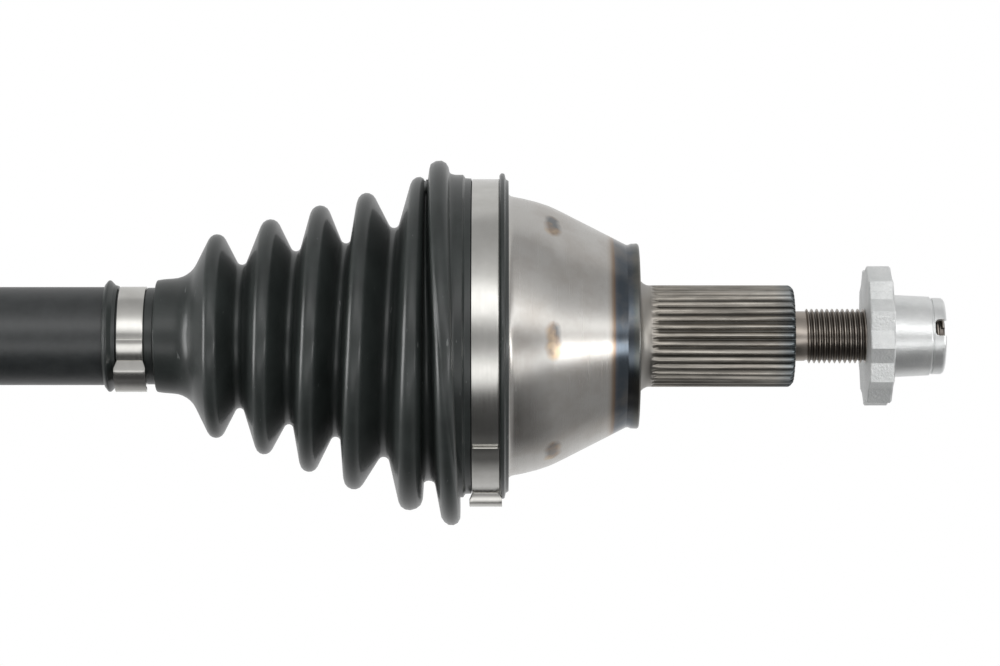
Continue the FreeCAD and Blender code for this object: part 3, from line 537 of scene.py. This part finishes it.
# Clamps: bands of bright stainless strip, each closed by one pinched ear, with the
# strip's outer end lapped over the inner one beside the ear.
def make_clamp(name, seat, first_x, width, ear_angle, ear_width, lap):
    """A clamp round the axis, in millimetres. The ear's angle runs from overhead, past the
    camera, to underneath, and the lap is the angle from the ear to the strip's outer end."""
    thickness = 0.8
    legs_half = math.degrees((ear_width / 2 + 0.8) / (seat + 2))
    top_half = math.degrees(ear_width / 2 / (seat + 4))
    outer = seat + thickness
    line = [(ear_angle - lap, outer)]
    for part in range(1, 5):
        line.append((ear_angle - lap + (lap - legs_half) * part / 4, outer))
    line += [
        (ear_angle - legs_half + 0.2, outer + 0.5), (ear_angle - top_half - 0.3, outer + 2.3),
        (ear_angle - top_half + 0.2, outer + 3.0), (ear_angle - top_half * 0.6, outer + 3.3),
        (ear_angle + top_half * 0.6, outer + 3.3), (ear_angle + top_half - 0.2, outer + 3.0),
        (ear_angle + top_half + 0.3, outer + 2.3), (ear_angle + legs_half - 0.2, outer + 0.5),
        (ear_angle + legs_half, outer),
    ]
    last = ear_angle - lap + 360 - 3
    first = ear_angle + legs_half + 6
    count = int((last - first) / 4)
    line.append((ear_angle + legs_half + 2.5, outer))
    for part in range(count + 1):
        line.append((first + (last - first) * part / count, seat))
    for part in range(1, 7):
        line.append((last + (lap + legs_half + 6) * part / 6, seat - 0.02))
    bpy.ops.object.select_all(action="DESELECT")
    places = [
        (-radius * math.sin(math.radians(angle)) / 1000,
         radius * math.cos(math.radians(angle)) / 1000)
        for angle, radius in line]
    bpy.ops.mesh.primitive_plane_add(size=0.0001, location=(first_x / 1000, *places[0]))
    strap = bpy.context.object
    strap.name = name
    bpy.ops.object.transform_apply(location=True, rotation=True, scale=True)
    bpy.ops.object.mode_set(mode="EDIT")
    bpy.ops.mesh.merge(type="CENTER")
    for (y0, z0), (y1, z1) in zip(places, places[1:]):
        bpy.ops.mesh.extrude_vertices_move(TRANSFORM_OT_translate={"value": (0, y1 - y0, z1 - z0)})
    bpy.ops.mesh.select_all(action="SELECT")
    for step in (0.12, 0.76, 0.12):
        bpy.ops.mesh.extrude_region_move(
            TRANSFORM_OT_translate={"value": (width * step / 1000, 0, 0)})
    middle = (first_x + width / 2) / 1000
    flare_from = (outer + 2.0) / 1000
    ear_flare = 1.2
    select_where(strap, lambda vert: math.hypot(vert.co.y, vert.co.z) > flare_from)
    bpy.ops.transform.resize(value=(ear_flare, 1, 1), center_override=(middle, 0, 0))
    bpy.ops.mesh.select_all(action="SELECT")
    bpy.ops.mesh.normals_make_consistent(inside=False)
    bpy.ops.object.mode_set(mode="OBJECT")
    outwards = 0.0
    for face in strap.data.polygons:
        outwards += face.normal.y * face.center.y + face.normal.z * face.center.z
    wall = strap.modifiers.new("wall", "SOLIDIFY")
    wall.thickness = thickness / 1000
    wall.offset = 1.0 if outwards > 0 else -1.0
    bpy.ops.object.modifier_apply(modifier="wall")
    edge = strap.modifiers.new("edge", "BEVEL")
    edge.width = 0.00015
    edge.segments = 2
    edge.limit_method = "ANGLE"
    edge.angle_limit = math.radians(50)
    bpy.ops.object.modifier_apply(modifier="edge")
    bpy.ops.object.shade_smooth_by_angle(angle=math.radians(28))
    return strap


strip, tree, shader, place = new_finish("bright stainless strip", 0.2, 1.0)
brushed = cloudy(tree, stretched(tree, place, (5200, 60, 60)), 1.0, 3.0)
smudges = cloudy(tree, place, 130.0, 4.0)
tree.links.new(ramp(tree, smudges, [(0.3, 0.60, 0.59, 0.56), (0.7, 0.70, 0.69, 0.66)]),
               shader.inputs["Base Color"])
tree.links.new(spread(tree, brushed, 0.13, 0.28), shader.inputs["Roughness"])
set_bump(tree, shader, brushed, 0.00001, 0.4)

small_clamp = make_clamp("small_clamp", 13.7, -151.7, 7.6, 139.0, 8.4, 46.0)
small_clamp.data.materials.append(strip)
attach(small_clamp, "shaft")
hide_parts("small_boot_clamp")

large_clamp = make_clamp("large_clamp", 45.25, -48.6, 7.9, 172.0, 5.4, 39.0)
large_clamp.data.materials.append(strip)
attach(large_clamp, "bell")
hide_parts("large_boot_clamp")


# Bell, shoulder and stub: one steel forging, turned outside, with six ball tracks inside.
# Hardening left heat tints on the bell and a blue-black band at the bearing's shoulder.
cavity = [(-38 + 30.3 * math.cos(math.radians(a)), 30.3 * math.sin(math.radians(a)))
          for a in range(27, 109, 9)]
bell = turn_piece("bell_and_stub", [(-11.0, 0.0)] + cavity + rounded([
    (-48.2, 28.54), (-50.0, 29.7, 0.3), (-50.0, 42.0, 0.3), (-49.0, 43.0, 0.3),
    (-45.5, 43.0), (-45.4, 42.2), (-42.6, 42.2), (-42.5, 43.0),
    (-38.6, 43.0), (-38.4, 42.3), (-37.9, 41.5), (-37.2, 41.0), (-36.4, 40.8), (-35.2, 40.6),
    (-33.5, 40.25), (-31.7, 39.8), (-29.9, 39.35), (-28.2, 38.8), (-26.4, 38.2),
    (-24.65, 37.45), (-22.8, 36.55), (-21.1, 35.7), (-3.7, 26.85, 0.3), (-3.1, 26.75),
    (-2.2, 27.1), (-0.5, 27.2, 0.3), (0.0, 26.8, 0.2), (0.0, 18.1), (0.2, 17.1), (0.7, 16.2),
    (1.5, 15.45), (2.4, 15.0), (3.2, 14.85), (3.8, 14.85), (4.2, 13.0), (44.6, 13.0),
    (45.3, 7.3), (48.6, 7.3), (49.2, 7.05), (88.7, 7.05), (89.3, 6.6, 0.2), (89.35, 2.2),
    (85.5, 0.0),
]), 160)

# The six ball tracks, each cut by a round tool carried on an arc about the tracks' centre.
track_radius = 27.81
track_x = -0.0405
track_tool_radius = 0.00898
track_start = math.radians(-50)
track_sweep = math.radians(84)
for number in range(6):
    bpy.ops.object.select_all(action="DESELECT")
    bpy.ops.mesh.primitive_circle_add(
        vertices=40, radius=track_tool_radius, location=(track_x, 0.0, track_radius / 1000),
        rotation=(0, math.radians(90), 0))
    cutter = bpy.context.object
    bpy.ops.object.transform_apply(location=True, rotation=True, scale=True)
    bpy.ops.object.mode_set(mode="EDIT")
    bpy.ops.mesh.select_all(action="SELECT")
    bpy.ops.mesh.edge_face_add()
    for vert in bmesh.from_edit_mesh(cutter.data).verts:
        x, z = vert.co.x - track_x, vert.co.z
        vert.co.x = track_x + x * math.cos(track_start) + z * math.sin(track_start)
        vert.co.z = -x * math.sin(track_start) + z * math.cos(track_start)
    bpy.ops.mesh.spin(steps=24, angle=track_sweep, center=(track_x, 0, 0), axis=(0, 1, 0))
    bpy.ops.mesh.select_all(action="SELECT")
    bpy.ops.mesh.normals_make_consistent(inside=False)
    for vert in bmesh.from_edit_mesh(cutter.data).verts:
        angle = math.radians(60 * number)
        y, z = vert.co.y, vert.co.z
        vert.co.y = y * math.cos(angle) - z * math.sin(angle)
        vert.co.z = y * math.sin(angle) + z * math.cos(angle)
    bpy.ops.object.mode_set(mode="OBJECT")
    bpy.context.view_layer.objects.active = bell
    cut = bell.modifiers.new("track", "BOOLEAN")
    cut.object = cutter
    cut.solver = "EXACT"
    bpy.ops.object.modifier_apply(modifier="track")
    bpy.data.objects.remove(cutter)
stub_spline = splined_shaft("stub_spline", [
    (3.2, 14.88, 0.0), (3.8, 14.9, 0.0), (5.8, 14.9, 1.0), (44.0, 14.9, 1.0), (44.6, 14.6, 1.0),
    (45.35, 13.7, 0.3), (45.4, 9.0, 0.0)], 36, 0.95, (0.0, 0.0, 0.35, 1.0, 1.0, 0.35))


# The stub's thread: one turn's ridge, carried along a screw line round the stud.
thread_first_x = 0.0494
thread_pitch = 0.0015
thread_turns = 26.2
thread_steps = 1048
bpy.ops.object.select_all(action="DESELECT")
bpy.ops.mesh.primitive_plane_add(
    size=0.001, location=(thread_first_x, 0, 0.0075), rotation=(math.radians(90), 0, 0))
thread = bpy.context.object
thread.name = "stub_thread"
bpy.ops.object.transform_apply(location=True, rotation=True, scale=True)
ridge = [(-0.62, 7.0), (0.62, 7.0), (-0.11, 8.0), (0.11, 8.0)]
upwards = sorted(thread.data.vertices, key=lambda vertex: (vertex.co.z, vertex.co.x))
for vertex, (x, radius) in zip(upwards, ridge):
    vertex.co = (thread_first_x + x / 1000, 0, radius / 1000)
screw = thread.modifiers.new("screw", "SCREW")
screw.axis = "X"
screw.angle = 2 * math.pi * thread_turns
screw.steps = thread_steps
screw.render_steps = thread_steps
screw.screw_offset = thread_pitch * thread_turns
screw.use_merge_vertices = False
bpy.ops.object.modifier_apply(modifier="screw")
bpy.ops.object.mode_set(mode="EDIT")
bpy.ops.mesh.select_all(action="SELECT")
bpy.ops.mesh.remove_doubles(threshold=0.000002)
bpy.ops.mesh.normals_make_consistent(inside=False)
bpy.ops.object.mode_set(mode="OBJECT")
bpy.ops.object.shade_smooth_by_angle(angle=math.radians(28))
bell = join_pieces("bell_and_stub", [bell, stub_spline, thread])

forging, tree, shader, place = new_finish("turned and heat-tinted steel", 0.3, 1.0)
parts = add_node(tree, "ShaderNodeSeparateXYZ", None, {0: place})

# Places along the piece run from 0 at its open end, X -50 mm, to 1 at X 86 mm.
along = calculate(tree, "MULTIPLY_ADD", parts.outputs["X"], 1000.0 / 136, 50.0 / 136)
warped = calculate(tree, "MULTIPLY_ADD", cloudy(tree, place, 90.0, 3.0), 0.003, along)
tone = ramp(tree, warped, [
    (0.298, 0.60, 0.585, 0.56), (0.3075, 0.46, 0.41, 0.36), (0.3095, 0.27, 0.20, 0.15),
    (0.3140, 0.25, 0.18, 0.13), (0.3165, 0.13, 0.14, 0.16), (0.322, 0.09, 0.108, 0.128),
    (0.353, 0.095, 0.11, 0.128), (0.357, 0.10, 0.115, 0.115), (0.367, 0.14, 0.145, 0.14),
    (0.373, 0.36, 0.35, 0.33), (0.395, 0.42, 0.40, 0.37), (0.405, 0.52, 0.485, 0.43),
    (0.66, 0.50, 0.475, 0.43), (0.691, 0.34, 0.37, 0.38), (0.7015, 0.16, 0.20, 0.22),
    (0.7045, 0.45, 0.405, 0.36), (0.733, 0.45, 0.405, 0.36), (0.737, 0.42, 0.38, 0.34),
])
stains = cloudy(tree, place, 75.0, 6.0, 0.62)
stained = mix(tree, ramp(tree, stains, [(0.42, 0.0), (0.75, 0.45)]), tone, (0.36, 0.31, 0.26, 1))

# Six scorched spots round the bell, one over each ball track.
spots = 6
first_spot = math.radians(32)
spots_x = -0.0253
spot_half_length = 0.0045
to_camera = calculate(tree, "MULTIPLY", parts.outputs["Y"], -1.0)
front = calculate(tree, "ARCTAN2", to_camera, parts.outputs["Z"])
wave = calculate(tree, "COSINE", calculate(
    tree, "MULTIPLY_ADD", front, spots, -spots * first_spot))
round_bell = add_node(tree, "ShaderNodeMapRange", None, {
    "Value": wave, "From Min": 0.35, "From Max": 0.85}).outputs[0]
aside = calculate(tree, "ABSOLUTE", calculate(tree, "SUBTRACT", parts.outputs["X"], spots_x))
along_bell = add_node(tree, "ShaderNodeMapRange", None, {
    "Value": aside, "From Max": spot_half_length, "To Min": 1.0, "To Max": 0.0}).outputs[0]
spot = calculate(tree, "MULTIPLY", round_bell, along_bell)
ragged = calculate(tree, "MULTIPLY_ADD", cloudy(tree, place, 260.0, 4.0), 0.5, spot)
scorch = ramp(tree, cloudy(tree, place, 130.0, 3.0), [
    (0.38, 0.15, 0.16, 0.17), (0.5, 0.32, 0.24, 0.18), (0.62, 0.55, 0.42, 0.28)])
marked = mix(tree, ramp(tree, ragged, [(0.65, 0.0), (1.0, 0.85)]), stained, scorch)

# Painted shade darkens the gaps between the teeth, broken up by streaks, and between the turns of
# the thread.
radius = calculate(tree, "SQRT", calculate(
    tree, "ADD", calculate(tree, "MULTIPLY", parts.outputs["Y"], parts.outputs["Y"]),
    calculate(tree, "MULTIPLY", parts.outputs["Z"], parts.outputs["Z"])))
teeth_gap_shade = add_node(tree, "ShaderNodeMapRange", None, {
    "Value": radius, "From Min": 0.0140, "From Max": 0.0147, "To Min": 0.22}).outputs[0]
thread_gap_shade = add_node(tree, "ShaderNodeMapRange", None, {
    "Value": radius, "From Min": 0.0071, "From Max": 0.0079, "To Min": 0.42}).outputs[0]
streaks = cloudy(tree, stretched(tree, place, (110, 900, 900)), 1.0, 4.0)
streaked_teeth_shade = calculate(tree, "MULTIPLY", teeth_gap_shade, ramp(tree, streaks, [(0.35, 0.62), (0.65, 1.0)]))
painted_gap_shade = mix(tree, ramp(tree, along, [(0.396, 0.0), (0.402, 1.0), (0.699, 1.0), (0.702, 0.0)]),
            (1, 1, 1, 1), streaked_teeth_shade)
painted_gap_shade = mix(tree, ramp(tree, along, [(0.732, 0.0), (0.735, 1.0)]), painted_gap_shade, thread_gap_shade)
tree.links.new(add_node(tree, "ShaderNodeVectorMath", {"operation": "MULTIPLY"}, {
    0: marked, 1: painted_gap_shade}).outputs[0], shader.inputs["Base Color"])
matt = ramp(tree, along, [(0.30, 0.26), (0.32, 0.17), (0.362, 0.20), (0.372, 0.48), (0.40, 0.32),
                          (0.69, 0.30), (0.73, 0.3)])
rings = cloudy(tree, stretched(tree, place, (2600, 22, 22)), 1.0, 2.0)
rough = calculate(tree, "MULTIPLY_ADD", calculate(tree, "SUBTRACT", rings, 0.5), 0.08, matt)
tree.links.new(rough, shader.inputs["Roughness"])
set_bump(tree, shader, rings, 0.000012, 0.25)
bell.data.materials.clear()
bell.data.materials.append(forging)
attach(bell, "bell")
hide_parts("outer_race_stub")


# Collar nut: a twelve-point head with a plain collar and a crown with two slots for locking,
# in steel with a zinc-flake coat. It runs on the stub's thread.
points_radius = 20.75
valley_radius = 18.63
head_x = 0.0665
bpy.ops.object.select_all(action="DESELECT")
bpy.ops.mesh.primitive_circle_add(
    vertices=24, radius=(points_radius - 1) / 1000, fill_type="NGON",
    location=(head_x, 0, 0), rotation=(0, math.radians(90), 0))
head = bpy.context.object
head.name = "nut_head"
bpy.ops.object.transform_apply(location=True, rotation=True, scale=True)
bpy.ops.object.mode_set(mode="EDIT")
bpy.ops.mesh.select_all(action="SELECT")
points_turn = math.radians(10)
corner_step = math.radians(15)
for step, tip in ((0.0, points_radius - 0.4), (0.35, points_radius), (6.35, points_radius),
                  (0.5, points_radius - 0.6)):
    if step:
        bpy.ops.mesh.extrude_region_move(TRANSFORM_OT_translate={"value": (step / 1000, 0, 0)})
    mesh = bmesh.from_edit_mesh(head.data)
    for vert in mesh.verts:
        if vert.select:
            angle = math.atan2(-vert.co.y, vert.co.z) - points_turn
            corner = round(angle / corner_step)
            size = (tip if corner % 2 == 0 else min(tip, valley_radius)) / 1000
            vert.co.y = -size * math.sin(corner * corner_step + points_turn)
            vert.co.z = size * math.cos(corner * corner_step + points_turn)
    bmesh.update_edit_mesh(head.data)
bpy.ops.mesh.select_all(action="SELECT")
bpy.ops.mesh.normals_make_consistent(inside=False)
bpy.ops.object.mode_set(mode="OBJECT")
collar = turn_piece("nut_collar", rounded([
    (68.0, 8.05), (85.2, 8.05), (85.2, 9.0), (89.2, 9.0), (89.5, 9.3), (89.5, 11.2, 1.2),
    (86.0, 11.2), (85.85, 10.7), (85.5, 10.7), (85.35, 11.55, 0.4), (73.2, 12.15),
    (68.0, 12.15), (68.0, 8.05),
]), 96)

# The crown's slots, cut straight in from the end, with rounded corners at the bottom.
slots = 2
first_slot = 76.5
slot_x = 0.0888
for number in range(slots):
    bpy.ops.object.select_all(action="DESELECT")
    bpy.ops.mesh.primitive_cube_add(
        size=1.0, location=(slot_x, 0, 0.0085), scale=(0.0054, 0.0049, 0.007))
    slot_tool = bpy.context.object
    bpy.ops.object.transform_apply(location=True, rotation=True, scale=True)
    bpy.ops.object.mode_set(mode="EDIT")
    select_where(slot_tool, lambda edge: abs(edge.verts[0].co.z - edge.verts[1].co.z) > 0.001
                 and edge.verts[0].co.x < slot_x, "EDGE")
    bpy.ops.mesh.bevel(offset=0.0012, segments=4, affect="EDGES")
    bpy.ops.mesh.select_all(action="SELECT")
    bpy.ops.mesh.normals_make_consistent(inside=False)
    angle = math.radians(first_slot + 180 * number)
    for vert in bmesh.from_edit_mesh(slot_tool.data).verts:
        y, z = vert.co.y, vert.co.z
        vert.co.y = y * math.cos(angle) - z * math.sin(angle)
        vert.co.z = y * math.sin(angle) + z * math.cos(angle)
    bpy.ops.object.mode_set(mode="OBJECT")
    bpy.context.view_layer.objects.active = collar
    cut = collar.modifiers.new("slot", "BOOLEAN")
    cut.object = slot_tool
    cut.solver = "FAST"
    bpy.ops.object.modifier_apply(modifier="slot")
    bpy.data.objects.remove(slot_tool)
bore_tool = turn_piece("bore", [(66.0, 0.0), (66.0, 9.8), (66.8, 9.05), (67.8, 8.05),
                                (80.0, 8.05), (80.0, 0.0)], 96)
bpy.context.view_layer.objects.active = head
cut = head.modifiers.new("bore", "BOOLEAN")
cut.object = bore_tool
cut.solver = "EXACT"
bpy.ops.object.modifier_apply(modifier="bore")
bpy.data.objects.remove(bore_tool)
nut = join_pieces("collar_nut", [head, collar])
edge = nut.modifiers.new("edge", "BEVEL")
edge.width = 0.00018
edge.segments = 2
edge.limit_method = "ANGLE"
edge.angle_limit = math.radians(35)
bpy.ops.object.modifier_apply(modifier="edge")
bpy.ops.object.shade_smooth_by_angle(angle=math.radians(20))

plating, tree, shader, place = new_finish("zinc-flake coat", 0.4, 0.8)
patches = cloudy(tree, place, 160.0, 5.0, 0.6)
tree.links.new(ramp(tree, patches, [(0.3, 0.80, 0.815, 0.81), (0.7, 0.93, 0.94, 0.935)]),
               shader.inputs["Base Color"])
along = add_node(tree, "ShaderNodeSeparateXYZ", None, {0: place}).outputs["X"]
on_collar = add_node(tree, "ShaderNodeMapRange", None, {
    "Value": along, "From Min": 0.0733, "From Max": 0.0739}).outputs[0]
flakes = cloudy(tree, place, 1400.0, 3.0)
rough = calculate(tree, "MULTIPLY_ADD", flakes, 0.1, spread(tree, on_collar, 0.55, 0.26))
tree.links.new(rough, shader.inputs["Roughness"])
heaped = calculate(tree, "MULTIPLY", flakes, spread(tree, on_collar, 1.0, 0.25))
set_bump(tree, shader, heaped, 0.0003, 0.8)
nut.data.materials.clear()
nut.data.materials.append(plating)
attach(nut, "nut")
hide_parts("hub_nut")
